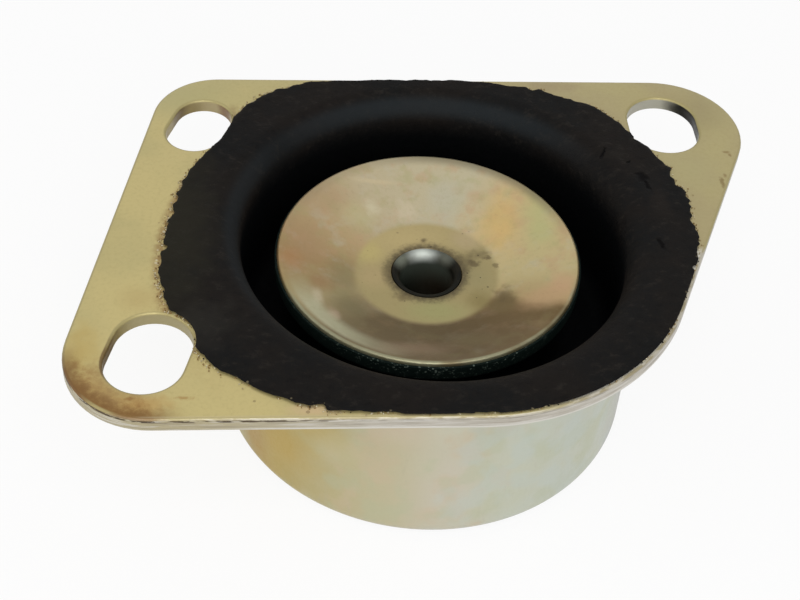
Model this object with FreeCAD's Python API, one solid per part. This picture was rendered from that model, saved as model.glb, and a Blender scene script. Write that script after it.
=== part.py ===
import FreeCAD, Part
import math
import os

from FreeCAD import Vector

# A rubber transmission mount: a sheet steel flange and cup drawn as one pressing, a steel bush
# with a dished washer at its top, and the rubber moulded between them.
# Millimetres. The origin is the lower end of the centre bore, +Z is the bore's axis, and the
# cup stands on its base at z = 0. X runs along the flange's front edge and Y to the back.

# The pressing
SHEET = 2.5            # thickness of the sheet
HEIGHT = 37.0          # from the base of the cup to the flange's upper face
CUP_R = 35.0           # outer radius of the cup
CUP_X = 0.8            # the cup's axis stands this far from the bore's, to the right
CUP_Y = 0.4            # and this far to the back
BASE_BEND = 0.8        # inner radius where the wall turns into the base
FLANGE_BEND = 1.2      # radius of the root between the wall and the flange's lower face
BASE_OPENING_R = 21.0  # the opening in the base
EDGE_BREAK = 0.35      # bevelled edges of the flange, its slots and the opening

# The flange's outline: distance of each edge from the cup's axis, lean of the two side edges,
# and the radius of each corner
BACK_EDGE = 39.2
FRONT_EDGE = 40.9
LEFT_EDGE = 51.7
LEFT_LEAN = 10.9
RIGHT_EDGE = 42.2
RIGHT_LEAN = 23.9
BACK_LEFT_R = 11.3
FRONT_LEFT_R = 13.6
FRONT_RIGHT_R = 37.0
BACK_RIGHT_R = 14.0

# The bolt slots: centre from the cup's axis, width, length and the angle of the long way
BACK_LEFT_SLOT = {"x": -39.0, "y": 26.0, "width": 9.7, "length": 13.7, "angle": 70.0}
BACK_RIGHT_SLOT = {"x": 42.5, "y": 26.8, "width": 12.2, "length": 15.0, "angle": 90.0}
FRONT_LEFT_SLOT = {"x": -45.0, "y": -27.6, "width": 12.2, "length": 16.3, "angle": 75.0}

# The washer
WASHER_R = 25.0
WASHER_SHEET = 1.5
WASHER_SINK = 10.0     # its flat centre lies this far under the flange's upper face
WASHER_FLAT_R = 12.2
WASHER_RISE = 4.8      # from the flat centre up to the rim
WASHER_BEND = 5.0      # radius between the flat centre and the cone, at the upper face
RIM_BREAK = 0.4        # bevels on the rim

# The bush
BORE_R = 4.5
SPIGOT_R = 5.8         # the end that stands in the washer's hole
SPIGOT_CLEARANCE = 0.1
BUSH_R = 8.0           # below the washer
MOUTH_ROUND = 1.2
END_CHAMFER = 0.6

# The rubber
SKIN = 0.6             # thickness of the skin on the flange
SKIN_MARGIN = 0.5      # bare metal left along the flange's edges
SKIN_WIDTH = 8.0       # how far it spread past the cup's outer radius
# The uneven spread as shares of that width, evenly round the cup from +X towards the back
SKIN_SHARES = [1.0, 1.15, 1.15, 0.69, 0.75, 1.0, 1.06, 1.0,
               1.1, 1.34, 1.4, 0.925, 0.75, 0.875, 0.91, 0.925]
LINING = 0.8           # thickness on the cup's wall
LIP_ROUND = 5.0        # rounding of the mouth
GROOVE_DEPTH = 22.0    # from the flange's upper face
GROOVE_FILLET = 3.0
CORE_R = 22.0          # rubber round the bush, where the groove is deepest
PAD = 2.0              # rubber under the washer's rim
PAD_LIP = 0.35         # it stands out past the rim
PAD_LAP = 0.9          # and stops this far below the rim's upper edge

INNER_R = CUP_R - SHEET
WASHER_TOP = HEIGHT - WASHER_SINK
WASHER_UNDER = WASHER_TOP - WASHER_SHEET
RIM_TOP = WASHER_TOP + WASHER_RISE
CONE = math.atan2(WASHER_RISE, WASHER_R - WASHER_FLAT_R)
SHEET_UPRIGHT = WASHER_SHEET / math.cos(CONE)
GROOVE_FLOOR = HEIGHT - GROOVE_DEPTH
CUP_AXIS = Vector(CUP_X, CUP_Y, 0)
UP = Vector(0, 0, 1)


def turn(point, centre, angle):
    """A vector from centre to a corner's tangent point, turned by an angle in radians."""
    x, y = point[0] - centre[0], point[1] - centre[1]
    c, s = math.cos(angle), math.sin(angle)
    return centre[0] + c * x - s * y, centre[1] + s * x + c * y


def corner_arc(before, corner, after, radius):
    """Start, middle and end of the arc that rounds a corner between two straight lines."""
    a = (before[0] - corner[0], before[1] - corner[1])
    b = (after[0] - corner[0], after[1] - corner[1])
    la, lb = math.hypot(*a), math.hypot(*b)
    a, b = (a[0] / la, a[1] / la), (b[0] / lb, b[1] / lb)
    half = math.acos(max(-1.0, min(1.0, a[0] * b[0] + a[1] * b[1]))) / 2
    reach = radius / math.tan(half)
    start = (corner[0] + a[0] * reach, corner[1] + a[1] * reach)
    end = (corner[0] + b[0] * reach, corner[1] + b[1] * reach)
    mid = (a[0] + b[0], a[1] + b[1])
    away = radius / math.sin(half) - radius
    length = math.hypot(*mid)
    middle = (corner[0] + mid[0] / length * away, corner[1] + mid[1] / length * away)
    return start, middle, end


def outline(corners, place):
    """A closed face through corners (x, y, radius), each point put in space by place(x, y)."""
    arcs = []
    for i, (x, y, radius) in enumerate(corners):
        before, after = corners[i - 1], corners[(i + 1) % len(corners)]
        if radius:
            arcs.append(corner_arc(before, (x, y), after, radius))
        else:
            arcs.append(((x, y), None, (x, y)))
    edges = []
    for i, (start, middle, end) in enumerate(arcs):
        if middle:
            edges.append(Part.Arc(place(*start), place(*middle), place(*end)).toShape())
        following = arcs[(i + 1) % len(arcs)][0]
        if math.dist(end, following) > 1e-6:
            edges.append(Part.LineSegment(place(*end), place(*following)).toShape())
    return Part.Face(Part.Wire(edges))


def turned(corners, axis=Vector(0, 0, 0)):
    """A solid of revolution about an upright axis, from corners (radius, height, rounding)."""
    section = outline(corners, lambda r, z: Vector(axis.x + r, axis.y, z))
    return section.revolve(axis, UP, 360)


def flange_corners(margin=0.0):
    """The flange's four corners, each edge moved in by a margin."""
    edges = [
        (90.0, BACK_EDGE),
        (180.0 - LEFT_LEAN, LEFT_EDGE),
        (270.0, FRONT_EDGE),
        (360.0 - RIGHT_LEAN, RIGHT_EDGE),
    ]
    radii = [BACK_LEFT_R, FRONT_LEFT_R, FRONT_RIGHT_R, BACK_RIGHT_R]
    corners = []
    for i, radius in enumerate(radii):
        (a, da), (b, db) = edges[i], edges[(i + 1) % len(edges)]
        a, b = math.radians(a), math.radians(b)
        da, db = da - margin, db - margin
        spread = math.sin(b - a)
        x = (da * math.sin(b) - db * math.sin(a)) / spread
        y = (db * math.cos(a) - da * math.cos(b)) / spread
        corners.append((x, y, radius - margin))
    return corners


def on_cup_axis(z):
    """Places flat outlines at height z, measured from the cup's axis."""
    return lambda x, y: Vector(CUP_X + x, CUP_Y + y, z)


def slot_cutter(slot, z, height):
    """A bolt slot's solid: straight sides with round ends."""
    half = slot["width"] / 2
    straight = (slot["length"] - slot["width"]) / 2
    angle = math.radians(slot["angle"])
    middle = on_cup_axis(z)

    def place(x, y):
        x, y = turn((x, y), (0, 0), angle)
        return middle(slot["x"] + x, slot["y"] + y)

    edges = [
        Part.LineSegment(place(-straight, -half), place(straight, -half)).toShape(),
        Part.Arc(place(straight, -half), place(straight + half, 0), place(straight, half)).toShape(),
        Part.LineSegment(place(straight, half), place(-straight, half)).toShape(),
        Part.Arc(place(-straight, half), place(-straight - half, 0), place(-straight, -half)).toShape(),
    ]
    return Part.Face(Part.Wire(edges)).extrude(UP * height)


def slots(z, height):
    return [slot_cutter(slot, z, height) for slot in (BACK_LEFT_SLOT, BACK_RIGHT_SLOT, FRONT_LEFT_SLOT)]


def flange():
    """The flat plate with its slots and bevelled edges."""
    low = HEIGHT - SHEET
    plate = outline(flange_corners(), on_cup_axis(low)).extrude(UP * SHEET)
    plate = plate.cut(slots(low, SHEET))
    level = [e for e in plate.Edges if e.BoundBox.ZLength < SHEET / 2]
    return plate.makeChamfer(EDGE_BREAK, level)


def flanged_cup():
    """The drawn pressing: base with its opening, wall, and flange in one sheet."""
    join_r = CUP_R + FLANGE_BEND + SHEET / 2
    cup = turned(
        [
            (BASE_OPENING_R, EDGE_BREAK, 0),
            (BASE_OPENING_R + EDGE_BREAK, 0, 0),
            (CUP_R, 0, BASE_BEND + SHEET),
            (CUP_R, HEIGHT - SHEET, FLANGE_BEND),
            (join_r, HEIGHT - SHEET, 0),
            (join_r, HEIGHT, 0),
            (INNER_R, HEIGHT, FLANGE_BEND + SHEET),
            (INNER_R, SHEET, BASE_BEND),
            (BASE_OPENING_R + EDGE_BREAK, SHEET, 0),
            (BASE_OPENING_R, SHEET - EDGE_BREAK, 0),
        ],
        CUP_AXIS,
    )
    hole = Part.makeCylinder(join_r, HEIGHT, CUP_AXIS)
    return flange().cut(hole).fuse(cup).removeSplitter()


def dished_washer():
    """A flat centre with a hole, and a cone up to the bevelled rim."""
    hole_r = SPIGOT_R + SPIGOT_CLEARANCE
    slope = math.tan(CONE)
    flat_under_r = WASHER_FLAT_R + WASHER_SHEET * math.tan(CONE / 2)
    return turned(
        [
            (hole_r, WASHER_UNDER, 0),
            (flat_under_r, WASHER_UNDER, WASHER_BEND + WASHER_SHEET),
            (WASHER_R - RIM_BREAK, RIM_TOP - SHEET_UPRIGHT - RIM_BREAK * slope, 0),
            (WASHER_R, RIM_TOP - SHEET_UPRIGHT + RIM_BREAK, 0),
            (WASHER_R, RIM_TOP - RIM_BREAK, 0),
            (WASHER_R - RIM_BREAK, RIM_TOP - RIM_BREAK * slope, 0),
            (WASHER_FLAT_R, WASHER_TOP, WASHER_BEND),
            (hole_r, WASHER_TOP, 0),
        ]
    )


def stepped_bush():
    """The steel bush, whose narrower end stands in the washer and has a rounded mouth."""
    return turned(
        [
            (BORE_R, 0, 0),
            (BUSH_R - END_CHAMFER, 0, 0),
            (BUSH_R, END_CHAMFER, 0),
            (BUSH_R, WASHER_UNDER, 0),
            (SPIGOT_R, WASHER_UNDER, 0),
            (SPIGOT_R, WASHER_TOP, 0),
            (BORE_R, WASHER_TOP, MOUTH_ROUND),
        ]
    )


def skin():
    """The rubber that lies on the flange, trimmed by its edges and slots."""
    place = on_cup_axis(HEIGHT)
    step = 2 * math.pi / len(SKIN_SHARES)
    spread = [CUP_R + SKIN_WIDTH * share for share in SKIN_SHARES]
    points = [place(r * math.cos(i * step), r * math.sin(i * step)) for i, r in enumerate(spread)]
    edge = Part.BSplineCurve()
    edge.interpolate(points, PeriodicFlag=True)
    sheet = Part.Face(Part.Wire(edge.toShape())).extrude(UP * SKIN)
    bound = outline(flange_corners(SKIN_MARGIN), place).extrude(UP * SKIN)
    return sheet.common(bound).cut(slots(HEIGHT, SKIN))


def groove():
    """The space round the core, open at the top through the rounded mouth."""
    lining_r = INNER_R - LINING
    top = HEIGHT + SKIN
    wide_r = lining_r + 2 * LIP_ROUND
    return turned(
        [
            (0, GROOVE_FLOOR, 0),
            (lining_r, GROOVE_FLOOR, GROOVE_FILLET),
            (lining_r, top, LIP_ROUND),
            (wide_r, top, 0),
            (wide_r, top + SKIN, 0),
            (0, top + SKIN, 0),
        ],
        CUP_AXIS,
    )


def core():
    """The rubber round the bush and under the washer, up past its rim."""
    pad_r = WASHER_R + PAD_LIP
    slope = math.tan(CONE)
    rim_under = RIM_TOP - SHEET_UPRIGHT - PAD / math.cos(CONE)
    foot_r = CORE_R + 2 * GROOVE_FILLET
    within = WASHER_SHEET / 2
    return turned(
        [
            (0, SHEET, 0),
            (foot_r, SHEET, 0),
            (foot_r, GROOVE_FLOOR, 0),
            (CORE_R, GROOVE_FLOOR, GROOVE_FILLET),
            (CORE_R, rim_under - (WASHER_R - CORE_R) * slope, GROOVE_FILLET / 2),
            (pad_r, rim_under + PAD_LIP * slope, 0),
            (pad_r, RIM_TOP - PAD_LAP, 0),
            (WASHER_R - RIM_BREAK, RIM_TOP - PAD_LAP, 0),
            (WASHER_FLAT_R, WASHER_TOP - within, 0),
            (0, WASHER_TOP - within, 0),
        ]
    )


def cup_filling():
    """The inside of the cup, flared at its mouth and level with the skin."""
    bend = FLANGE_BEND + SHEET
    return turned(
        [
            (0, SHEET, 0),
            (INNER_R, SHEET, BASE_BEND),
            (INNER_R, HEIGHT, bend),
            (INNER_R + 1.5 * bend, HEIGHT, 0),
            (INNER_R + 1.5 * bend, HEIGHT + SKIN, 0),
            (0, HEIGHT + SKIN, 0),
        ],
        CUP_AXIS,
    )


def moulded_rubber(washer):
    """Everything the mould filled: the cup below the groove, its lining, the skin and the core."""
    rubber = cup_filling().fuse(skin()).cut(groove()).fuse(core())
    bush_space = Part.makeCylinder(BUSH_R, WASHER_TOP)
    return rubber.cut(washer).cut(bush_space).removeSplitter()


def write(name, shape):
    solid = shape.Solids[0] if len(shape.Solids) == 1 else shape
    solid.exportStep(os.path.join("parts", name + ".step"))
    print(name, "solids", len(shape.Solids), "valid", shape.isValid(), "volume", round(shape.Volume, 1))


def main():
    os.makedirs("parts", exist_ok=True)
    washer = dished_washer()
    write("flanged_cup", flanged_cup())
    write("dished_washer", washer)
    write("stepped_bush", stepped_bush())
    write("moulded_rubber", moulded_rubber(washer))


main()
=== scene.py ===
import math
import random

import bmesh
import bpy
from mathutils import Matrix, Vector, noise


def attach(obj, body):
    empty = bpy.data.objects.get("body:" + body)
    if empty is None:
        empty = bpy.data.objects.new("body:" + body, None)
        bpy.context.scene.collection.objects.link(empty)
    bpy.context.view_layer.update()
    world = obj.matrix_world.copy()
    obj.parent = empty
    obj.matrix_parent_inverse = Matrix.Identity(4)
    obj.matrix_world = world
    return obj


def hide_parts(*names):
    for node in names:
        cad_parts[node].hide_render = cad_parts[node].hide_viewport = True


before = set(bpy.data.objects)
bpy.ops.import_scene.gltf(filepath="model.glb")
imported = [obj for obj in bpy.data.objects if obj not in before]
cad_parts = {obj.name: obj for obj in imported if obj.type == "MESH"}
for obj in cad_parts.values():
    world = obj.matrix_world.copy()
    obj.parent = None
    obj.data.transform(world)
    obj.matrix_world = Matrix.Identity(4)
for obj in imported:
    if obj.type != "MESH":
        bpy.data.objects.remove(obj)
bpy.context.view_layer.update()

# A rubber transmission mount. Sizes are millimetres until a mesh is finished, then metres.
MM = 0.001
SPIN_STEPS = 288

# The pressing
SHEET = 2.5
HEIGHT = 37.0
CUP_R = 35.0
CUP_AXIS = Vector((0.8, 0.4, 0.0))
INNER_R = CUP_R - SHEET
FLANGE_BEND = 1.2

# The flange's edges: direction of each outward normal, its distance from the cup's axis, and the
# radius of the corner that follows it
FLANGE_EDGES = ((90.0, 39.2, 11.3), (169.1, 51.7, 13.6), (270.0, 40.9, 37.0), (336.1, 42.2, 14.0))
# The large corner that follows the cup comes after this edge
ROUND_CORNER = 2
JOIN_R = CUP_R + FLANGE_BEND + SHEET / 2
BASE_BEND = 0.8
BASE_OPENING_R = 21.0
# The base opening's rounded edges: out from the opening, and into the sheet
OPENING_EDGE = ((0.35, 0.0), (0.1, 0.1), (0.0, 0.35))
# The blanked edge from the upper face down: inset from the full outline, and depth below the face
BLANKED_EDGE = (
    (0.62, 0.0), (0.36, 0.05), (0.17, 0.15), (0.05, 0.31), (0.0, 0.5),
    (0.0, 1.0), (0.02, 1.5), (0.03, 1.9), (0.0, 2.2), (0.03, 2.36), (0.14, 2.45), (0.62, 2.5),
)

# The slots: centre from the cup's axis, width, length, angle of the long way
SLOTS = (
    (-39.0, 26.0, 9.7, 13.7, 70.0),
    (42.5, 26.8, 12.2, 15.0, 90.0),
    (-45.0, -27.6, 12.2, 16.3, 75.0),
)

# The washer and the bush
WASHER_R = 25.0
WASHER_SHEET = 1.5
WASHER_TOP = 27.0
WASHER_UNDER = WASHER_TOP - WASHER_SHEET
WASHER_FLAT_R = 12.2
WASHER_RISE = 4.8
WASHER_BEND = 5.0
RIM_TOP = WASHER_TOP + WASHER_RISE
RIM_ROUND = 0.55
SLOPE = WASHER_RISE / (WASHER_R - WASHER_FLAT_R)
CONE = math.atan(SLOPE)
SHEET_UPRIGHT = WASHER_SHEET / math.cos(CONE)
HOLE_R = 5.9
BORE_R = 4.5
SPIGOT_R = 5.8
BUSH_R = 8.0
MOUTH_ROUND = 1.2
END_CHAMFER = 0.6

# The rubber, its skin's width before that is drawn out to the edge, and how far the skin stays inside
# the flange's edges
RUBBER_STEPS = 720
SKIN = 0.6
SKIN_TOP = HEIGHT + SKIN
EDGE_SKIN = 0.22
SKIN_SPAN = 10.0
SKIN_MARGIN = 0.12
LINING_R = INNER_R - 0.8
LIP_ROUND = 5.0
LIP_R = LINING_R + LIP_ROUND
GROOVE_FLOOR = 15.0
GROOVE_FILLET = 3.0
CORE_R = 22.0
PAD_R = WASHER_R + 0.35
PAD_TOP = RIM_TOP - 0.9
RIM_UNDER = RIM_TOP - SHEET_UPRIGHT - 2.0 / math.cos(CONE)
# How far the skin reaches from the cup's axis, every 15 degrees from +X
SKIN_REACH = (
    43.2, 43.9, 43.6, 44.1, 41.8, 39.6, 38.6, 39.8, 43.4, 44.1, 42.0, 42.9,
    43.6, 45.9, 46.9, 46.6, 44.8, 41.7, 41.4, 42.2, 42.7, 43.2, 43.2, 43.2,
)
# Torn places in the skin's edge: direction and half width in degrees, depth
TEARS = (
    (276.0, 4.2, 1.0), (289.0, 1.6, 0.7), (171.5, 1.6, 0.8), (187.0, 1.1, 0.6), (61.0, 1.5, 0.7),
    (31.0, 1.2, 0.5), (206.0, 1.3, 0.6), (243.0, 1.6, 0.6), (333.0, 1.3, 0.8), (346.0, 1.0, 0.6),
)
# Crumbs beside the skin's edge: how many are tried, their distances from it and their sizes
CRUMBS = 3000
CRUMB_SPREAD = (-0.1, 0.28)
CRUMB_SIZE = (0.06, 0.15)


def arc(centre, radius, start, end, count):
    """Points (radius from the axis, height) on an arc, from one angle to another in degrees."""
    points = []
    for i in range(count + 1):
        angle = math.radians(start + (end - start) * i / count)
        points.append((centre[0] + radius * math.cos(angle), centre[1] + radius * math.sin(angle)))
    return points


def between(start, end, count):
    """Points on a straight line, without its two ends."""
    share = [i / (count + 1) for i in range(1, count + 1)]
    return [(start[0] + (end[0] - start[0]) * s, start[1] + (end[1] - start[1]) * s) for s in share]


def spun(section, steps):
    """A closed section (radius, height) turned once about the upright axis."""
    bm = bmesh.new()
    points = [bm.verts.new((r, 0, z)) for r, z in section]
    edges = [bm.edges.new((points[i - 1], points[i])) for i in range(len(points))]
    bmesh.ops.spin(
        bm, geom=points + edges, cent=(0, 0, 0), axis=(0, 0, 1),
        angle=2 * math.pi, steps=steps, use_merge=True, use_duplicate=False,
    )
    bmesh.ops.remove_doubles(bm, verts=bm.verts, dist=1e-5)
    bmesh.ops.recalc_face_normals(bm, faces=bm.faces)
    return bm


def rounded_outline(corners, cuts):
    """Points of a closed outline with the way out at each, from its corner arcs (centre, radius,
    start, turn, steps) in order, with points added on the straight stretches between them."""
    outline = []
    for i, (centre, radius, start, turn, steps) in enumerate(corners):
        for j in range(steps + 1):
            angle = math.radians(start + turn * j / steps)
            outward = Vector((math.cos(angle), math.sin(angle)))
            outline.append((Vector(centre) + outward * radius, outward))
        next_centre, next_radius, next_start, _, _ = corners[(i + 1) % len(corners)]
        angle = math.radians(next_start)
        end = Vector(next_centre) + Vector((math.cos(angle), math.sin(angle))) * next_radius
        begin = outline[-1][0]
        outline += [(begin.lerp(end, j / (cuts + 1)), outward) for j in range(1, cuts + 1)]
    return outline


def flange_corner(i):
    """The corner after an edge: its centre from the cup's axis, its radius, and where its arc starts
    and how far it turns."""
    normal, distance, radius = FLANGE_EDGES[i]
    next_normal, next_distance, _ = FLANGE_EDGES[(i + 1) % len(FLANGE_EDGES)]
    a, b = math.radians(normal), math.radians(next_normal)
    da, db = distance - radius, next_distance - radius
    spread = math.sin(b - a)
    x = (da * math.sin(b) - db * math.sin(a)) / spread
    y = (db * math.cos(a) - da * math.cos(b)) / spread
    return x, y, radius, normal, (next_normal - normal) % 360


def flange_outline():
    """The flange's outline: four straight edges with a rounded corner after each."""
    corners = []
    for i in range(len(FLANGE_EDGES)):
        x, y, radius, start, turn = flange_corner(i)
        corners.append(((CUP_AXIS.x + x, CUP_AXIS.y + y), radius, start, turn, max(18, int(radius * 1.2))))
    return rounded_outline(corners, 40)


def slot_outline(slot):
    """A slot's outline: two half rounds joined by its straight sides. The way out leads into it."""
    x, y, width, length, angle = slot
    half = (length - width) / 2
    corners = []
    for side in (0.0, 180.0):
        way = math.radians(angle + side)
        centre = (CUP_AXIS.x + x + half * math.cos(way), CUP_AXIS.y + y + half * math.sin(way))
        corners.append((centre, width / 2, angle + side - 90.0, 180.0, 28))
    return [(point, -outward) for point, outward in rounded_outline(corners, 6)]


def ring(bm, outline, inset, height):
    """A closed ring of edges along an outline at a height, moved in by an inset."""
    verts = [bm.verts.new((*(point - outward * inset), height)) for point, outward in outline]
    return [bm.edges.new((verts[i - 1], verts[i])) for i in range(len(verts))]


def blanked_wall(bm, outline):
    """The rounded and sheared edge of the sheet, bridged from ring to ring. Returns its top ring."""
    rings = [ring(bm, outline, inset, HEIGHT - depth) for inset, depth in BLANKED_EDGE]
    for upper, lower in zip(rings, rings[1:]):
        bmesh.ops.bridge_loops(bm, edges=upper + lower)
    return rings[0]


def mount_pressing(finish):
    """The drawn pressing: the cup turned, the flange filled in between its rim, slots and edges, and
    its lower face the same as its upper one."""
    bend = FLANGE_BEND + SHEET
    section = [(JOIN_R, HEIGHT)]
    section += arc((INNER_R + bend, HEIGHT - bend), bend, 90, 180, 12)
    section += between((INNER_R, HEIGHT - bend), (INNER_R, SHEET + BASE_BEND), 3)
    section += arc((INNER_R - BASE_BEND, SHEET + BASE_BEND), BASE_BEND, 0, -90, 5)
    section += [(BASE_OPENING_R + away, SHEET - depth) for away, depth in OPENING_EDGE]
    section += [(BASE_OPENING_R + away, depth) for away, depth in reversed(OPENING_EDGE)]
    section += arc((INNER_R - BASE_BEND, SHEET + BASE_BEND), BASE_BEND + SHEET, -90, 0, 12)
    section += between((CUP_R, SHEET + BASE_BEND), (CUP_R, HEIGHT - SHEET - FLANGE_BEND), 12)
    section += arc((CUP_R + FLANGE_BEND, HEIGHT - SHEET - FLANGE_BEND), FLANGE_BEND, 180, 90, 6)
    section += [(JOIN_R, HEIGHT - SHEET)]
    bm = bmesh.new()
    points = [bm.verts.new((CUP_AXIS.x + r, CUP_AXIS.y, z)) for r, z in section]
    chain = [bm.edges.new(pair) for pair in zip(points, points[1:])]
    bmesh.ops.spin(
        bm, geom=points + chain, cent=CUP_AXIS, axis=(0, 0, 1),
        angle=2 * math.pi, steps=SPIN_STEPS, use_merge=True, use_duplicate=False,
    )
    bmesh.ops.remove_doubles(bm, verts=bm.verts, dist=1e-4)
    rims = [e for e in bm.edges if e.is_boundary and e.verts[0].co.z > HEIGHT - 0.1]
    for outline in [flange_outline()] + [slot_outline(slot) for slot in SLOTS]:
        rims += blanked_wall(bm, outline)
    filled = bmesh.ops.triangle_fill(bm, use_beauty=True, use_dissolve=False, edges=rims)["geom"]
    face = [part for part in filled if isinstance(part, bmesh.types.BMFace)]
    under = bmesh.ops.duplicate(bm, geom=face)["geom"]
    under = [part for part in under if isinstance(part, bmesh.types.BMVert)]
    bmesh.ops.translate(bm, vec=(0, 0, -SHEET), verts=under)
    bmesh.ops.remove_doubles(bm, verts=bm.verts, dist=1e-4)
    bmesh.ops.recalc_face_normals(bm, faces=bm.faces)
    return piece(bm, "pressing", "flanged_cup", [finish])


def piece(bm, name, replaced, finishes, sharp=35.0):
    """Ends a mesh: from millimetres to metres, smooth, with its finishes, in place of its solid."""
    bmesh.ops.scale(bm, vec=(MM, MM, MM), verts=bm.verts)
    mesh = bpy.data.meshes.new(name)
    bm.to_mesh(mesh)
    bm.free()
    for finish in finishes:
        mesh.materials.append(finish)
    mesh.shade_smooth()
    mesh.set_sharp_from_angle(angle=math.radians(sharp))
    made = bpy.data.objects.new(name, mesh)
    bpy.context.scene.collection.objects.link(made)
    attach(made, "root")
    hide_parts(replaced)
    return made


def new_finish(name):
    """An empty material, its node tree and its surface shader."""
    finish = bpy.data.materials.new(name)
    finish.use_nodes = True
    tree = finish.node_tree
    return finish, tree, tree.nodes["Principled BSDF"]


def put(tree, kind, values=None, **settings):
    """A new shader node. A value in values is a number, a colour or another node's output."""
    made = tree.nodes.new("ShaderNode" + kind)
    for key, value in settings.items():
        setattr(made, key, value)
    for key, value in (values or {}).items():
        if isinstance(value, bpy.types.NodeSocket):
            tree.links.new(value, made.inputs[key])
        else:
            made.inputs[key].default_value = value
    return made


def maths(tree, operation, *values):
    """One step of arithmetic on numbers or other nodes' outputs."""
    return put(tree, "Math", dict(enumerate(values)), operation=operation).outputs[0]


def times(tree, first, *others):
    """The product of two or more shares."""
    for other in others:
        first = maths(tree, "MULTIPLY", first, other)
    return first


def vector_maths(tree, operation, *values):
    """One step of arithmetic on places or ways."""
    return put(tree, "VectorMath", dict(enumerate(values)), operation=operation).outputs


def noisy(tree, where, scale, detail=2.0, roughness=0.5):
    """Cloudy unevenness at a place: one value, or three under the name Color."""
    given = {"Vector": where, "Scale": scale, "Detail": detail, "Roughness": roughness}
    return put(tree, "TexNoise", given).outputs


def ramp(tree, value, low, high, first=0.0, last=1.0):
    """A smooth step of a value from first to last."""
    made = put(
        tree, "MapRange",
        {"Value": value, "From Min": low, "From Max": high, "To Min": first, "To Max": last},
        interpolation_type="SMOOTHSTEP",
    )
    return made.outputs["Result"]


def blend(tree, share, first, second):
    """A mix of two colours by a share."""
    made = put(tree, "Mix", {0: share, 6: first, 7: second}, data_type="RGBA")
    return made.outputs[2]


def shade(red, green, blue):
    """A colour from the 0 to 255 steps that a screen shows."""
    steps = []
    for value in (red, green, blue):
        value = value / 255
        steps.append(value / 12.92 if value <= 0.04045 else ((value + 0.055) / 1.055) ** 2.4)
    return (*steps, 1.0)


def place_mm(tree):
    """The place on the piece in millimetres."""
    where = put(tree, "TexCoord").outputs["Object"]
    return vector_maths(tree, "MULTIPLY", where, (1 / MM, 1 / MM, 1 / MM))[0]


def new_group(name, inputs, outputs):
    """A shader node group with named sockets. Returns the group, its tree's input and output nodes."""
    group = bpy.data.node_groups.new(name, "ShaderNodeTree")
    for label, kind, value in inputs:
        socket = group.interface.new_socket(label, in_out="INPUT", socket_type="NodeSocket" + kind)
        if value is not None:
            socket.default_value = value
    for label, kind in outputs:
        group.interface.new_socket(label, in_out="OUTPUT", socket_type="NodeSocket" + kind)
    return group, group.nodes.new("NodeGroupInput").outputs, group.nodes.new("NodeGroupOutput").inputs


def stain_and_highlight_group():
    """A soft patch at a place, with an edge made uneven by noise."""
    group, given, result = new_group(
        "stain_and_highlight",
        [("Place", "Vector", None), ("Centre", "Vector", None), ("Reach", "Vector", (5, 5, 5)),
         ("Softness", "Float", 0.5), ("Unevenness", "Float", 0.5), ("Grain", "Float", 0.3)],
        [("Mask", "Float")],
    )
    offset = vector_maths(group, "SUBTRACT", given["Place"], given["Centre"])[0]
    shares = vector_maths(group, "DIVIDE", offset, given["Reach"])[0]
    away = vector_maths(group, "LENGTH", shares)["Value"]
    cloud = noisy(group, given["Place"], given["Grain"], 5.0)[0]
    ragged = times(group, maths(group, "SUBTRACT", cloud, 0.5), given["Unevenness"])
    edge = maths(group, "ADD", away, ragged)
    inner = maths(group, "SUBTRACT", 1.0, given["Softness"])
    group.links.new(ramp(group, edge, inner, 1.0, 1.0, 0.0), result["Mask"])
    return group


def speck_group():
    """Small scattered dots: dirt, pits or chips."""
    group, given, result = new_group(
        "specks",
        [("Place", "Vector", None), ("Spacing", "Float", 1.0),
         ("Size", "Float", 0.15), ("Amount", "Float", 0.5)],
        [("Mask", "Float")],
    )
    scale = maths(group, "DIVIDE", 1.0, given["Spacing"])
    cells = put(group, "TexVoronoi", {"Vector": given["Place"], "Scale": scale, "Randomness": 1.0})
    lots = put(group, "SeparateColor", {0: cells.outputs["Color"]}).outputs
    wanted = maths(group, "LESS_THAN", lots[0], given["Amount"])
    size = times(group, given["Size"], lots[1])
    dot = maths(group, "LESS_THAN", cells.outputs["Distance"], size)
    group.links.new(times(group, wanted, dot), result["Mask"])
    return group


def mottle_group():
    """Cloudy unevenness of a plated or moulded surface at two scales, and a fine relief."""
    group, given, result = new_group(
        "mottle",
        [("Place", "Vector", None), ("Broad", "Float", 0.05),
         ("Fine", "Float", 1.2), ("Stretch", "Vector", (1, 1, 1))],
        [("Cloud", "Float"), ("Grain", "Float"), ("Height", "Float")],
    )
    where = vector_maths(group, "MULTIPLY", given["Place"], given["Stretch"])[0]
    cloud = noisy(group, given["Place"], given["Broad"], 3.0)[0]
    grain = noisy(group, where, given["Fine"], 6.0, 0.65)[0]
    fine = noisy(group, where, times(group, given["Fine"], 4.0))[0]
    group.links.new(cloud, result["Cloud"])
    group.links.new(grain, result["Grain"])
    group.links.new(maths(group, "ADD", grain, times(group, fine, 0.5)), result["Height"])
    return group


STAIN_AND_HIGHLIGHT = stain_and_highlight_group()
SPECKS = speck_group()
MOTTLE = mottle_group()

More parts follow.
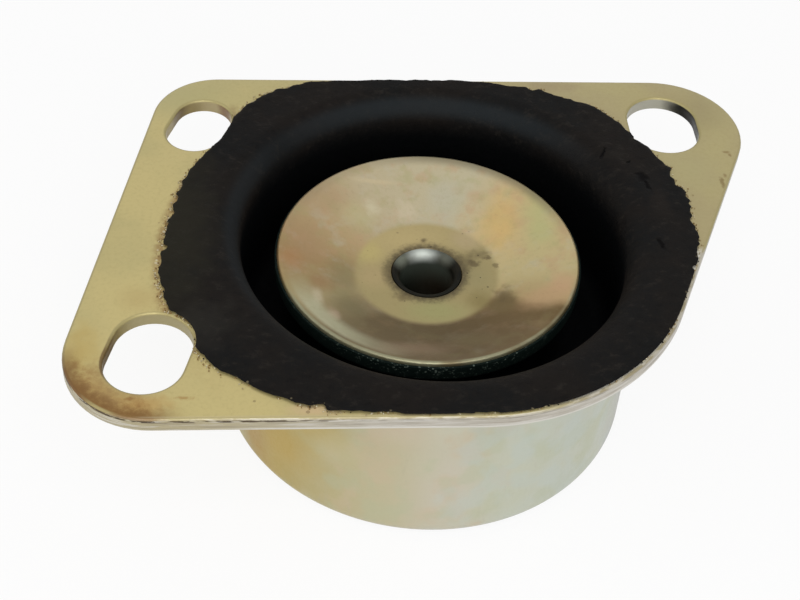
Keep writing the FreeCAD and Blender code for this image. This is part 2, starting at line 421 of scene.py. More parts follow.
# Patches: centre, reach, colour, strength, softness, unevenness, grain
FLANGE_STAINS = (
    ((-42, 34, 37), (14, 9, 9), (170, 162, 114), 0.8, 0.9, 0.4, 0.08),
    ((50, 31, 37), (8, 9, 9), (150, 138, 98), 0.6, 0.9, 0.5, 0.2),
    ((46, 15, 37), (6, 8, 9), (168, 158, 112), 0.6, 0.9, 0.5, 0.2),
    ((50.8, 11.6, 37), (0.6, 1.7, 9), (118, 96, 50), 0.7, 0.7, 1.6, 1.2),
    ((51.6, 13.2, 37), (0.5, 0.9, 9), (126, 104, 60), 0.6, 0.7, 1.6, 1.2),
    ((53.0, 19.6, 37), (0.8, 0.5, 9), (128, 106, 60), 0.7, 0.7, 1.6, 1.2),
    ((53.6, 18.8, 37), (0.4, 0.6, 9), (128, 106, 60), 0.7, 0.7, 1.6, 1.2),
    ((24, 38, 37), (8, 2.5, 9), (152, 134, 100), 0.6, 0.9, 0.9, 0.5),
    ((-20, -39, 37), (6, 1.8, 9), (200, 172, 134), 0.7, 0.9, 0.8, 0.5),
    ((-54, -27, 37), (4, 8, 9), (178, 154, 88), 0.7, 0.9, 1.0, 0.4),
    ((-44, -37.6, 37), (5.0, 3.0, 9), (176, 138, 76), 0.6, 0.9, 1.2, 0.5),
    ((-46.4, -36.4, 37), (1.0, 0.5, 9), (110, 70, 30), 0.7, 0.8, 1.6, 1.4),
    ((-38.5, -36.4, 37), (1.8, 0.5, 9), (150, 110, 50), 0.6, 0.9, 2.0, 1.6),
    ((-46, -16, 37), (5, 4, 9), (178, 158, 104), 0.6, 0.9, 0.6, 0.3),
    ((-32.4, 27, 37), (2.0, 6, 9), (126, 102, 64), 0.7, 0.9, 0.9, 0.6),
)
RIM_STAINS = (
    ((-51, -28.5, 37), (2.0, 7, 9), (96, 68, 34), 0.95, 0.7, 0.5, 0.6),
    ((-56, -34, 37), (6, 9, 9), (104, 70, 30), 0.95, 0.7, 0.5, 0.5),
    ((-46, -40.5, 37), (7, 3, 9), (112, 76, 34), 0.85, 0.8, 0.8, 0.5),
)
# Rust round the front left corner: the corner's middle, and the way to the darkest of it
RUSTED_CORNER = Vector((-43.3, -26.9, 0.0))
RUSTED_WAY = (-0.6, -0.8, 0.0)
SLOT_WALL_STAINS = (
    ((-38.2, 26.4, 36), (9, 10, 9), (164, 150, 112), 1.0, 0.1, 0.2, 0.3),
    ((-42.0, 30.5, 36), (3.0, 3.4, 9), (112, 94, 62), 0.9, 0.8, 0.5, 0.5),
    ((-33.6, 31.2, 36), (2.6, 2.8, 9), (124, 96, 68), 0.9, 0.8, 0.5, 0.5),
    ((43.3, 27.2, 36), (9, 10, 9), (166, 163, 148), 1.0, 0.1, 0.2, 0.3),
    ((49.6, 30.5, 36), (6.2, 9, 9), (22, 20, 16), 1.0, 0.6, 0.4, 0.3),
    ((-44.2, -27.2, 36), (9.5, 10.5, 9), (156, 145, 106), 1.0, 0.1, 0.2, 0.3),
    ((-50.5, -27, 36), (3.6, 8, 9), (98, 74, 44), 0.9, 0.8, 0.5, 0.5),
)
CUP_STAINS = (
    ((-25.5, -23, 13), (12, 12, 14), (180, 155, 84), 1.0, 0.8, 0.5, 0.15),
    ((-19.5, -28, 21), (8, 8, 8), (182, 160, 94), 0.8, 0.8, 0.5, 0.15),
    ((-29.5, -18, 8), (6, 8, 11), (170, 136, 70), 0.7, 0.9, 0.5, 0.15),
    ((-16, -31, 18), (7, 7, 7), (188, 180, 140), 0.5, 0.9, 0.6, 0.2),
    ((-6, -34, 27), (8, 8, 7), (196, 180, 156), 0.6, 0.9, 0.6, 0.2),
    ((16, -31, 28), (5, 8, 9), (186, 198, 186), 0.5, 0.9, 0.6, 0.2),
)
# The cone's colour bands, from -180 degrees at the left through +X to 180: the plating's own tints,
# with a painted dark reflection from -129 to -33 degrees at its front
CONE_TINTS_AND_REFLECTION = (
    (-180, (150, 124, 80)), (-155, (156, 140, 98)), (-129, (106, 90, 58)), (-80, (98, 80, 48)),
    (-33, (100, 78, 36)), (-27, (166, 144, 98)), (-5, (183, 168, 122)), (42, (190, 168, 121)),
    (66, (180, 171, 141)), (112, (179, 166, 135)), (148, (172, 150, 110)), (180, (150, 124, 80)),
)
# Patches on the cone: stains of the plating, and pale painted reflections at (-8.6, 14.4) and (-2.6, 14.4)
CONE_STAINS_AND_REFLECTIONS = (
    ((-14, -1.5, 28), (4.5, 6.5, 20), (132, 120, 83), 0.7, 0.9, 0.5, 0.2),
    ((-20, 4, 30), (6, 9, 20), (160, 130, 94), 0.6, 0.9, 0.5, 0.2),
    ((-22.5, -0.5, 30), (3, 4, 20), (160, 120, 76), 0.8, 0.9, 0.6, 0.3),
    ((-17, 15, 31), (7, 6, 20), (166, 142, 107), 0.7, 0.9, 0.5, 0.2),
    ((-11, 12.5, 29), (5, 4, 20), (178, 168, 126), 0.7, 0.9, 0.5, 0.2),
    ((-8.6, 14.4, 29), (2.0, 2.2, 20), (198, 190, 160), 0.6, 0.9, 1.3, 0.5),
    ((-2.6, 14.4, 29), (2.6, 2.6, 20), (196, 182, 156), 0.55, 0.9, 1.3, 0.5),
    ((-8, 19.4, 31), (5.5, 0.7, 20), (192, 176, 140), 0.6, 0.8, 0.6, 0.4),
    ((4.5, 16.5, 30), (4.5, 5.5, 20), (176, 172, 150), 0.7, 0.9, 0.6, 0.3),
    ((-18.5, -9, 30), (1.4, 4.0, 20), (196, 184, 156), 0.6, 0.8, 0.8, 0.4),
    ((-16, -12.5, 30), (1.6, 2.2, 20), (200, 176, 150), 0.5, 0.8, 0.8, 0.4),
    ((13.5, 10, 30), (4.4, 8.5, 20), (200, 168, 106), 0.75, 0.95, 0.9, 0.25),
    ((19.5, 9, 30), (4.4, 10, 20), (172, 172, 118), 0.75, 0.95, 0.9, 0.25),
    ((19, -9, 30), (7, 4.5, 20), (182, 150, 110), 0.8, 0.9, 0.7, 0.2),
    ((12, -8, 28), (3.4, 3.6, 20), (108, 90, 50), 0.9, 0.7, 0.8, 0.4),
    ((-13, -9, 28), (5, 5, 20), (118, 108, 72), 0.7, 0.9, 0.5, 0.2),
    ((-4, -20.5, 30), (9, 3.2, 20), (140, 116, 90), 0.7, 0.9, 0.5, 0.2),
    ((-18, -4.5, 30), (3.4, 3.0, 20), (146, 112, 72), 0.6, 0.9, 0.9, 0.4),
    ((6, -18, 30), (6, 3.4, 20), (112, 98, 62), 0.6, 0.9, 0.8, 0.3),
    ((21.5, -6.5, 31), (3, 4, 20), (190, 152, 116), 0.6, 0.9, 0.7, 0.3),
)
FLAT_STAINS = (
    ((-3, 8, 27), (14, 8, 20), (178, 160, 111), 1.0, 0.9, 0.4, 0.2),
    ((-9.5, 5, 27), (3.5, 4.5, 20), (184, 168, 108), 0.7, 0.9, 0.4, 0.2),
    ((-9, -1, 27), (4.5, 5, 20), (172, 152, 108), 0.7, 0.9, 0.4, 0.2),
    ((8, -1, 27), (5, 6, 20), (147, 136, 94), 0.8, 0.9, 0.4, 0.2),
    ((8.5, -7, 27), (4, 4.5, 20), (128, 114, 68), 0.8, 0.9, 0.6, 0.3),
    ((7.5, 8, 27), (4, 4, 20), (174, 156, 118), 0.8, 0.9, 0.5, 0.2),
    ((1, -9, 27), (8, 4, 20), (152, 149, 98), 0.8, 0.9, 0.4, 0.2),
)
WASHER_GRIME = (
    ((6.6, 2.6, 27), (2.6, 3.4, 20), (92, 80, 50), 0.6, 0.9, 1.5, 0.7),
    ((9, 4.2, 27), (2.6, 1.8, 20), (100, 88, 58), 0.6, 0.9, 1.5, 0.9),
    ((0, 7.8, 27), (0.9, 0.8, 20), (84, 70, 44), 0.8, 0.9, 1.0, 0.9),
    ((8.2, 2.2, 27), (1.4, 1.2, 20), (80, 66, 40), 0.7, 0.8, 1.8, 1.1),
    ((10.6, 3.6, 27), (0.9, 0.7, 20), (84, 70, 44), 0.7, 0.8, 1.8, 1.4),
    ((11.8, 1.6, 27), (0.7, 0.9, 20), (96, 82, 52), 0.6, 0.8, 1.8, 1.4),
    ((-6.4, 0, 27), (1.6, 4, 20), (110, 96, 62), 0.5, 0.9, 1.4, 0.7),
    ((-4.4, -5.8, 27), (2.2, 1.4, 20), (92, 78, 50), 0.6, 0.9, 1.4, 0.7),
    ((12.5, -6, 27), (2.4, 3.4, 20), (92, 76, 42), 0.6, 0.9, 1.4, 0.7),
)
# The painted highlight in the bush's mouth: grey at its left and right, bright at its back
MOUTH_HIGHLIGHTS = (
    ((-4.0, 3.4, 26.6), (2.8, 2.8, 3), (112, 116, 104), 0.9, 0.9, 0.3, 0.5),
    ((3.6, 3.8, 26.6), (2.8, 2.4, 3), (96, 98, 88), 0.9, 0.9, 0.3, 0.5),
    ((-0.4, 4.8, 26.5), (3.8, 2.2, 3), (206, 212, 204), 1.0, 0.95, 0.3, 0.5),
)
RUBBER_STAINS = (
    ((-41, 0, 37), (9, 34, 9), (40, 38, 30), 0.75, 0.9, 0.8, 0.3),
    ((-36, -22, 37), (7, 8, 9), (44, 42, 38), 0.5, 0.9, 1.2, 0.3),
    ((33.5, 18, 37), (3.0, 1.4, 9), (34, 31, 28), 0.6, 0.9, 1.5, 0.6),
    ((39, 6, 37), (2.4, 5, 9), (34, 30, 27), 0.6, 0.9, 1.5, 0.6),
)
# Gashes in the rubber: middle, way along, half length, half width
GASHES = (
    ((37.3, 10.6, 37), (0.2, -0.98, 0.0), 2.4, 0.55),
    ((36.9, 12.3, 37), (0.3, -0.95, 0.0), 1.5, 1.3),
    ((37.2, -4.4, 37), (0.2, -0.98, 0.0), 1.6, 0.6),
    ((31.2, 18.8, 37), (0.42, 0.91, 0.0), 1.5, 0.35),
    ((35.2, 16.2, 37), (0.8, 0.6, 0.0), 0.8, 0.3),
)


def grouped(tree, group, values):
    """A shared effect placed in a finish with its own values."""
    made = tree.nodes.new("ShaderNodeGroup")
    made.node_tree = group
    for key, value in values.items():
        if isinstance(value, bpy.types.NodeSocket):
            tree.links.new(value, made.inputs[key])
        else:
            made.inputs[key].default_value = value
    return made.outputs


def with_stains_and_highlights(tree, colour, place, stains):
    """Lays patches (centre, reach, colour, strength, softness, unevenness, grain) over a colour: stains,
    and in some tables painted highlights and reflections.
    """
    for centre, reach, tint, strength, softness, unevenness, grain in stains:
        mask = grouped(tree, STAIN_AND_HIGHLIGHT, {
            "Place": place, "Centre": centre, "Reach": reach,
            "Softness": softness, "Unevenness": unevenness, "Grain": grain,
        })["Mask"]
        colour = blend(tree, times(tree, mask, strength), colour, shade(*tint))
    return colour


def tinted(tree, turn, tints):
    """Colours that follow one another with the angle, from 0 at -180 degrees to 1 at 180."""
    made = put(tree, "ValToRGB", {0: turn})
    knots = made.color_ramp.elements
    for knot, (angle, tint) in zip((knots[0], knots[1]), (tints[0], tints[-1])):
        knot.position = angle / 360 + 0.5
        knot.color = shade(*tint)
    for angle, tint in tints[1:-1]:
        knots.new(angle / 360 + 0.5).color = shade(*tint)
    return made.outputs["Color"]


def gashed(tree, place, gashes):
    """How deep a place lies in one of the gashes, from 0 to 1."""
    shift = vector_maths(tree, "SUBTRACT", noisy(tree, place, 1.2, 4.0)["Color"], (0.5, 0.5, 0.5))[0]
    where = vector_maths(tree, "MULTIPLY_ADD", shift, (0.8, 0.8, 0.0), place)[0]
    depth = 0.0
    for middle, way, half_length, half_width in gashes:
        offset = vector_maths(tree, "SUBTRACT", where, middle)[0]
        along = vector_maths(tree, "DOT_PRODUCT", offset, way)["Value"]
        across = vector_maths(tree, "DOT_PRODUCT", offset, (-way[1], way[0], 0.0))["Value"]
        long = ramp(tree, maths(tree, "ABSOLUTE", along), 0.5 * half_length, half_length, 1.0, 0.0)
        wide = ramp(tree, maths(tree, "ABSOLUTE", across), 0.2 * half_width, half_width, 1.0, 0.0)
        depth = maths(tree, "MAXIMUM", depth, times(tree, long, wide))
    return depth


def flattened(tree, split):
    """The place without its height."""
    return put(tree, "CombineXYZ", {0: split["X"], 1: split["Y"], 2: 0.0}).outputs[0]


def away_from(tree, split, axis):
    """The distance from an upright axis in millimetres."""
    return vector_maths(tree, "DISTANCE", flattened(tree, split), (axis.x, axis.y, 0.0))["Value"]


def relief(tree, height, depth, shader):
    """A bump of a depth in metres from a height of 0 to 1."""
    bump = put(tree, "Bump", {"Height": height, "Distance": depth, "Strength": 1.0})
    tree.links.new(bump.outputs[0], shader.inputs["Normal"])


def rusted(tree, colour, place, split):
    """Rust in one band round the front left corner, darkest along its outer rim."""
    from_middle = away_from(tree, split, RUSTED_CORNER)
    way = vector_maths(tree, "SUBTRACT", flattened(tree, split), RUSTED_CORNER)[0]
    way = vector_maths(tree, "NORMALIZE", way)[0]
    aligned = vector_maths(tree, "DOT_PRODUCT", way, RUSTED_WAY)["Value"]
    cloud = noisy(tree, place, 0.45, 6.0, 0.7)[0]
    uneven = times(tree, maths(tree, "SUBTRACT", cloud, 0.5), 0.55)
    spread = ramp(tree, maths(tree, "ADD", aligned, uneven), 0.68, 0.98)
    inward = ramp(tree, maths(tree, "ADD", from_middle, times(tree, uneven, 9.0)), 6.5, 11.5, 0.35, 1.0)
    band = times(tree, spread, inward)
    rust = blend(tree, ramp(tree, cloud, 0.4, 0.6), shade(164, 124, 60), shade(144, 100, 44))
    colour = blend(tree, times(tree, band, 0.66), colour, rust)
    rim = ramp(tree, maths(tree, "ADD", from_middle, times(tree, uneven, 6.0)), 10.4, 13.0)
    rim = times(tree, rim, ramp(tree, aligned, 0.45, 0.9))
    return blend(tree, times(tree, rim, 0.85), colour, shade(114, 78, 32))


def scuffed(tree, colour, place, split, out):
    """Brown scuffs and pale chips on the flange beside the rubber's left edge."""
    slanted = maths(tree, "ADD", out, times(tree, split["Y"], 0.17))
    beside = times(tree, ramp(tree, slanted, 43.6, 45.4, 1.0, 0.0), ramp(tree, split["X"], -30.0, -37.0))
    beside = times(tree, beside, ramp(tree, split["Y"], -30.0, -22.0, 0.1, 1.0))
    smears = noisy(tree, place, 0.75, 6.0, 0.7)[0]
    brown = times(tree, beside, ramp(tree, smears, 0.38, 0.58), 0.85)
    colour = blend(tree, brown, colour, shade(138, 108, 62))
    chips = grouped(tree, SPECKS, {"Place": place, "Spacing": 0.8, "Size": 0.36, "Amount": 0.25})["Mask"]
    return blend(tree, times(tree, chips, beside, 0.7), colour, shade(206, 198, 172))


def worn_strip(tree, split, out):
    """Where the plating is worn off, along the flange's right edge and round its front right corner."""
    worn = times(tree, ramp(tree, out, 39.8, 40.6), ramp(tree, split["X"], 12.0, 22.0))
    return times(tree, worn, ramp(tree, split["Y"], -4.0, -6.5))


def flange_colour(tree, place, split, clouds, out, worn):
    """The flange: plain olive plating below, and above it stains, specks, rust, scuffs and wear."""
    colour = blend(tree, ramp(tree, split["X"], -30.0, 34.0), shade(190, 175, 119), shade(165, 152, 110))
    colour = blend(tree, ramp(tree, clouds["Cloud"], 0.4, 0.62, 0.0, 0.6), colour, shade(174, 163, 112))
    plain = blend(tree, ramp(tree, clouds["Grain"], 0.45, 0.75, 0.0, 0.18), colour, shade(150, 136, 90))
    colour = with_stains_and_highlights(tree, plain, place, FLANGE_STAINS)
    specks = grouped(tree, SPECKS, {"Place": place, "Spacing": 2.6, "Size": 0.13, "Amount": 0.14})["Mask"]
    colour = blend(tree, times(tree, specks, 0.5), colour, shade(104, 84, 50))
    colour = rusted(tree, colour, place, split)
    colour = scuffed(tree, colour, place, split, out)
    colour = blend(tree, worn, colour, shade(200, 196, 184))
    colour = blend(tree, ramp(tree, split["Y"], -39.7, -40.2, 0.0, 0.55), colour, shade(186, 174, 146))
    return blend(tree, ramp(tree, split["Z"], 35.0, 36.2), plain, colour)


def cup_colour(tree, place, split, clouds, out):
    """The cup: gold at the left, cream in front, greenish grey at the right, in cloudy patches. Painted
    light lies high on its front left, and painted shade along its bottom edge and its right side.
    """
    wall = blend(tree, ramp(tree, split["X"], -28.0, -6.0), shade(170, 154, 92), shade(184, 176, 144))
    wall = blend(tree, ramp(tree, split["X"], -8.0, 2.0), wall, shade(191, 184, 166))
    wall = blend(tree, ramp(tree, split["X"], 2.0, 14.0), wall, shade(187, 190, 172))
    lit = times(tree, ramp(tree, split["Z"], 22.0, 30.0), ramp(tree, split["X"], -22.0, -4.0), 0.6)
    wall = blend(tree, lit, wall, shade(208, 208, 192))
    wall = blend(tree, ramp(tree, split["X"], 2.0, 30.0), wall, shade(186, 190, 178))
    wall = blend(tree, ramp(tree, clouds["Cloud"], 0.45, 0.6, 0.0, 0.3), wall, shade(186, 184, 156))
    drawn = put(tree, "Mapping", {"Vector": place, "Scale": (0.6, 0.6, 0.12)}).outputs[0]
    scratches = noisy(tree, drawn, 1.4, 6.0, 0.7)[0]
    wall = blend(tree, ramp(tree, scratches, 0.56, 0.72, 0.0, 0.25), wall, shade(168, 162, 140))
    patches = put(tree, "SeparateColor", {0: noisy(tree, place, 0.14, 3.0)["Color"]}).outputs
    warm = times(tree, ramp(tree, patches[0], 0.5, 0.64, 0.0, 0.45), ramp(tree, split["X"], 22.0, 6.0))
    warm = times(tree, warm, ramp(tree, split["X"], -24.0, -12.0))
    wall = blend(tree, warm, wall, shade(192, 174, 146))
    wall = blend(tree, ramp(tree, patches[1], 0.5, 0.64, 0.0, 0.4), wall, shade(174, 178, 146))
    cool = times(tree, ramp(tree, patches[2], 0.5, 0.64, 0.0, 0.45), ramp(tree, split["X"], -8.0, 4.0))
    wall = blend(tree, cool, wall, shade(182, 190, 182))
    wall = with_stains_and_highlights(tree, wall, place, CUP_STAINS)
    # Painted shade: greyer along the bottom edge, where the wall turns under, and along the right side
    low = times(tree, ramp(tree, split["Z"], 0.2, 2.4, 0.75, 0.0), ramp(tree, split["X"], -24.0, -8.0))
    low = times(tree, low, ramp(tree, out, 31.5, 33.0))
    right = ramp(tree, split["X"], 28.0, 34.0, 0.0, 0.5)
    return blend(tree, maths(tree, "MAXIMUM", low, right), wall, shade(158, 156, 160))


def rolled_rims(tree, colour, place, split, level, worn, broken):
    """The rounded rims of the blanked edges: painted shade in a darker olive, with brown stains at the
    left corner, a painted highlight along the front rim, and bare and bright where the plating is worn.
    """
    # The rounding is painted a darker olive: painted shade
    rounding = times(tree, ramp(tree, level, 0.995, 0.93), ramp(tree, split["Z"], 36.0, 36.3))
    rolled = with_stains_and_highlights(tree, shade(156, 145, 98), place, RIM_STAINS)
    colour = blend(tree, times(tree, rounding, 0.85), colour, rolled)
    # A painted highlight along the front rim; where the plating is worn, the rim is bare steel
    front = times(tree, rounding, ramp(tree, level, 0.88, 0.78))
    front = times(tree, front, ramp(tree, split["Y"], -37.5, -40.0, 0.0, 0.9))
    front = times(tree, front, ramp(tree, split["X"], -46.0, -30.0, 0.15, 1.0))
    rim_highlight_and_wear = maths(tree, "MAXIMUM", front, times(tree, rounding, worn))
    bright = blend(tree, ramp(tree, broken, 0.44, 0.56), shade(178, 172, 156), shade(150, 140, 112))
    return blend(tree, rim_highlight_and_wear, colour, bright)


def sheared_colour(tree, place, split, broken):
    """The blanked edges: bare steel with shear marks, a bright line low down that is a painted
    highlight, dark lines high up, and the slots' walls with their own tints."""
    shear = grouped(tree, MOTTLE, {"Place": place, "Broad": 0.3, "Fine": 1.1, "Stretch": (0.12, 0.12, 3.0)})
    steel = blend(tree, ramp(tree, split["X"], -40.0, -5.0), shade(172, 161, 128), shade(180, 174, 162))
    steel = blend(tree, ramp(tree, shear["Grain"], 0.52, 0.6, 0.0, 0.45), steel, shade(140, 132, 118))
    steel = blend(tree, ramp(tree, shear["Grain"], 0.48, 0.4, 0.0, 0.6), steel, shade(206, 203, 196))
    # A painted highlight: a bright line along the edge's lower rim
    low_line = times(tree, ramp(tree, split["Z"], 34.55, 34.7), ramp(tree, split["Z"], 35.1, 34.9))
    low_line = times(tree, low_line, ramp(tree, split["X"], -38.0, -18.0, 0.1, 0.7))
    steel = blend(tree, low_line, steel, shade(214, 212, 204))
    lines = times(tree, ramp(tree, broken, 0.46, 0.52), ramp(tree, split["Z"], 36.2, 36.35))
    lines = times(tree, lines, ramp(tree, split["X"], -8.0, -30.0, 0.2, 0.95))
    steel = blend(tree, lines, steel, shade(66, 50, 30))
    return with_stains_and_highlights(tree, steel, place, SLOT_WALL_STAINS)


def plated_sheet_finish():
    """Yellow passivated plating on the pressing: olive flange, sheared edges, paler cup."""
    finish, tree, shader = new_finish("plated_sheet")
    place = place_mm(tree)
    split = put(tree, "SeparateXYZ", {0: place}).outputs
    facing = put(tree, "SeparateXYZ", {0: put(tree, "TexCoord").outputs["Normal"]}).outputs
    level = maths(tree, "ABSOLUTE", facing["Z"])
    clouds = grouped(tree, MOTTLE, {"Place": place, "Broad": 0.06, "Fine": 1.6})
    out = away_from(tree, split, CUP_AXIS)
    worn = worn_strip(tree, split, out)
    streaks = put(tree, "Mapping", {"Vector": place, "Scale": (0.3, 0.3, 1.6)}).outputs[0]
    broken = noisy(tree, streaks, 1.4, 5.0)[0]

    colour = flange_colour(tree, place, split, clouds, out, worn)
    below = ramp(tree, split["Z"], HEIGHT - SHEET - 0.3, HEIGHT - SHEET, 1.0, 0.0)
    colour = blend(tree, below, colour, cup_colour(tree, place, split, clouds, out))
    colour = rolled_rims(tree, colour, place, split, level, worn, broken)
    upright = ramp(tree, level, 0.25, 0.5, 1.0, 0.0)
    within = ramp(tree, split["Z"], HEIGHT - SHEET - 0.02, HEIGHT - SHEET + 0.02)
    steel = sheared_colour(tree, place, split, broken)
    colour = blend(tree, times(tree, upright, within), colour, steel)

    tree.links.new(colour, shader.inputs["Base Color"])
    tree.links.new(ramp(tree, clouds["Grain"], 0.3, 0.8, 0.38, 0.52), shader.inputs["Roughness"])
    shader.inputs["Metallic"].default_value = 0.45
    relief(tree, clouds["Height"], 0.000014, shader)
    return finish


def plated_washer_finish():
    """Yellow passivated plating on the washer, with bands of colour round the cone and grime. The cone
    bears a painted dark reflection at its front, pale painted reflections, a painted highlight along
    its front rim and painted shade inside the back of its rim.
    """
    finish, tree, shader = new_finish("plated_washer")
    place = place_mm(tree)
    split = put(tree, "SeparateXYZ", {0: place}).outputs
    out = away_from(tree, split, Vector((0, 0, 0)))
    clouds = grouped(tree, MOTTLE, {"Place": place, "Broad": 0.12, "Fine": 1.3})
    sway = times(tree, maths(tree, "SUBTRACT", clouds["Cloud"], 0.5), 0.05)
    turn = maths(tree, "DIVIDE", maths(tree, "ARCTAN2", split["Y"], split["X"]), 2 * math.pi)
    turn = maths(tree, "ADD", maths(tree, "ADD", turn, 0.5), sway)
    cone = tinted(tree, turn, CONE_TINTS_AND_REFLECTION)
    haze = put(tree, "SeparateColor", {0: noisy(tree, place, 0.28, 5.0, 0.6)["Color"]}).outputs
    lit = ramp(tree, split["Y"], -10.0, 0.0, 0.25, 1.0)
    warm = times(tree, ramp(tree, haze[0], 0.48, 0.68, 0.0, 0.4), lit)
    cone = blend(tree, warm, cone, shade(180, 144, 110))
    green = times(tree, ramp(tree, haze[1], 0.48, 0.68, 0.0, 0.4), lit)
    cone = blend(tree, green, cone, shade(156, 152, 102))
    pale = times(tree, ramp(tree, haze[2], 0.5, 0.7, 0.0, 0.35), lit)
    cone = blend(tree, pale, cone, shade(178, 172, 152))
    cone = with_stains_and_highlights(tree, cone, place, CONE_STAINS_AND_REFLECTIONS)
    streak = times(tree, ramp(tree, out, 19.6, 22.0), ramp(tree, out, 24.4, 23.2))
    streak = times(tree, streak, ramp(tree, turn, 0.02, 0.09))
    streak = times(tree, streak, ramp(tree, turn, 0.24, 0.13))
    cone = blend(tree, times(tree, streak, 0.8), cone, shade(180, 178, 146))
    # A painted highlight along the cone's front rim, broken up by noise
    rim = times(tree, ramp(tree, out, 24.2, 24.6), ramp(tree, split["Y"], -4.0, -12.0))
    sparkle = ramp(tree, clouds["Cloud"], 0.42, 0.58, 0.3, 0.95)
    cone = blend(tree, times(tree, rim, sparkle), cone, shade(142, 140, 112))
    shadowed = times(tree, ramp(tree, out, 22.6, 24.4), ramp(tree, split["Y"], 2.0, 16.0))
    shadowed = times(tree, shadowed, ramp(tree, split["X"], -10.0, 4.0, 0.25, 0.75))
    cone = blend(tree, shadowed, cone, shade(112, 104, 80))
    middle = with_stains_and_highlights(tree, shade(156, 142, 97), place, FLAT_STAINS)
    colour = blend(tree, ramp(tree, out, WASHER_FLAT_R - 0.9, WASHER_FLAT_R + 0.5), middle, cone)

    ring = maths(tree, "ADD", out, times(tree, clouds["Grain"], 2.4))
    grime = ramp(tree, ring, 6.9, 9.2, 0.92, 0.0)
    colour = blend(tree, grime, colour, shade(66, 56, 34))
    colour = with_stains_and_highlights(tree, colour, place, WASHER_GRIME)
    specks = grouped(tree, SPECKS, {"Place": place, "Spacing": 1.1, "Size": 0.2, "Amount": 0.3})["Mask"]
    near = times(tree, ramp(tree, out, 8.0, 15.0, 0.85, 0.05), ramp(tree, split["X"], -9.0, 6.0, 0.4, 1.0))
    colour = blend(tree, times(tree, specks, near), colour, shade(58, 46, 28))
    colour = blend(tree, ramp(tree, clouds["Grain"], 0.5, 0.8, 0.0, 0.2), colour, shade(130, 112, 76))
    tree.links.new(colour, shader.inputs["Base Color"])
    tree.links.new(ramp(tree, clouds["Grain"], 0.3, 0.8, 0.3, 0.42), shader.inputs["Roughness"])
    shader.inputs["Metallic"].default_value = 0.55
    relief(tree, clouds["Height"], 0.00002, shader)
    return finish


def bush_finish():
    """Dull turned steel: a dark rounded mouth with a painted highlight at its back, and a dark bore with
    painted light on its back wall.
    """
    finish, tree, shader = new_finish("bush_steel")
    place = place_mm(tree)
    split = put(tree, "SeparateXYZ", {0: place}).outputs
    clouds = grouped(tree, MOTTLE, {"Place": place, "Broad": 0.3, "Fine": 2.0, "Stretch": (0.3, 0.3, 3.0)})
    mouth = blend(tree, ramp(tree, clouds["Grain"], 0.35, 0.7), shade(20, 21, 17), shade(34, 31, 24))
    # Painted highlight in the mouth
    mouth = with_stains_and_highlights(tree, mouth, place, MOUTH_HIGHLIGHTS)
    dark = blend(tree, ramp(tree, split["X"], -4.0, 4.0), shade(34, 36, 30), shade(46, 38, 28))
    lit = times(tree, ramp(tree, split["Y"], -1.0, 3.6), ramp(tree, split["Z"], 19.0, 26.0))
    dark = blend(tree, lit, dark, shade(64, 70, 62))
    deep = ramp(tree, split["Z"], WASHER_TOP - 2.6, WASHER_TOP - 1.0, 1.0, 0.0)
    bare = ramp(tree, split["Z"], 2.0, 6.0, 1.0, 0.0)
    colour = blend(tree, bare, blend(tree, deep, mouth, dark), shade(142, 140, 132))
    tree.links.new(colour, shader.inputs["Base Color"])
    tree.links.new(ramp(tree, clouds["Grain"], 0.3, 0.8, 0.38, 0.52), shader.inputs["Roughness"])
    tree.links.new(ramp(tree, split["Z"], 2.0, 6.0, 0.5, 0.08), shader.inputs["Metallic"])
    shader.inputs["Specular IOR Level"].default_value = 0.05
    relief(tree, clouds["Height"], 0.00002, shader)
    return finish


